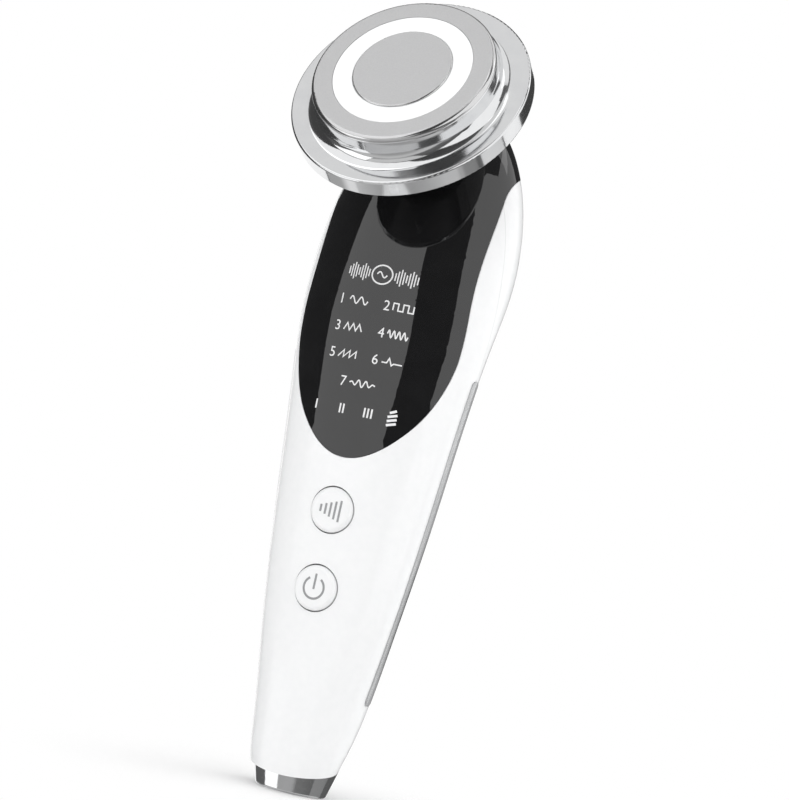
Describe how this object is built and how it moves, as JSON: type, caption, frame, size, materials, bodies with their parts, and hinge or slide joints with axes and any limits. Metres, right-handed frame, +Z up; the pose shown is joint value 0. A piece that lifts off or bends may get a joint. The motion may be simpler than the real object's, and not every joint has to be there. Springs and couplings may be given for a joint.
{
  "type": "face massager",
  "caption": "Hand-held facial massager with an oval white handle, dark display cover, push buttons, side contact strips and a tilted round treatment head.",
  "frame": {"origin": "centre of the charging inlet's mouth on the flat tail face", "axes": "+Z up along the handle towards the head, -Y towards the display and the treatment head, +X across the handle"},
  "size_m": [0.05, 0.0501, 0.1659],
  "materials": {
    "white_shell": "smooth gloss white",
    "white_key": "smooth gloss white",
    "black_gloss": "polished black",
    "plated_chrome": "bright plated finish on moulded plastic",
    "satin_steel": "fine bead-blasted satin",
    "strip_steel": "polished strip",
    "white_window": "translucent white",
    "seal_rubber": "matt black",
    "spring_steel": "plain",
    "screw_steel": "zinc plated",
    "motor_steel": "drawn can",
    "weight_brass": "turned",
    "inner_plastic": "moulded matt",
    "board": "solder mask",
    "lamp": "clear resin",
    "black_plastic": "moulded black",
    "battery_foil": "foil pouch",
    "ferrite": "sintered",
    "copper_wire": "enamelled wire",
    "ribbon_film": "amber film"
  },
  "bodies": {
    "handle": {"battery": "battery_foil", "battery_pad": "seal_rubber", "board_screws": "screw_steel", "centre_electrode": "satin_steel", "coil_core": "ferrite", "coil_winding": "copper_wire", "controller": "black_plastic", "display_cover": "black_gloss", "display_lamps": "lamp", "drivers": "black_plastic", "electrode_leaves": "spring_steel", "front_shell": "white_shell", "head_back": "black_gloss", "head_brim": "plated_chrome", "head_carrier": "inner_plastic", "head_leds": "lamp", "head_ribbon": "ribbon_film", "head_screws": "screw_steel", "inlet_shell": "spring_steel", "inlet_tongue": "black_plastic", "led_board": "board", "left_electrode": "strip_steel", "light_guide": "inner_plastic", "light_window": "white_window", "main_board": "board", "mode_switch": "black_plastic", "motor_can": "motor_steel", "neck": "black_gloss", "neck_clip": "spring_steel", "neck_seal": "seal_rubber", "outer_electrode": "satin_steel", "power_switch": "black_plastic", "rear_shell": "white_shell", "ribbon_socket": "black_plastic", "right_electrode": "strip_steel", "tail_cap": "plated_chrome"},
    "mode_key": {"mode_button": "white_key", "mode_plunger": "black_plastic"},
    "power_key": {"power_button": "white_key", "power_plunger": "black_plastic"},
    "rotor": {"motor_shaft": "motor_steel", "motor_weight": "weight_brass"}
  },
  "joints": [
    {"name": "mode_press", "type": "slide", "parent": "handle", "child": "mode_key", "axis": [0, 1, 0], "range_m": [0, 0.0004], "stiffness_N_per_m": 800},
    {"name": "power_press", "type": "slide", "parent": "handle", "child": "power_key", "axis": [0, 1, 0], "range_m": [0, 0.0004], "stiffness_N_per_m": 800},
    {"name": "weight_spin", "type": "hinge", "parent": "handle", "child": "rotor", "pos_m": [0, -0.01296, 0.14224], "axis": [1, 0, 0], "continuous": true}
  ]
}
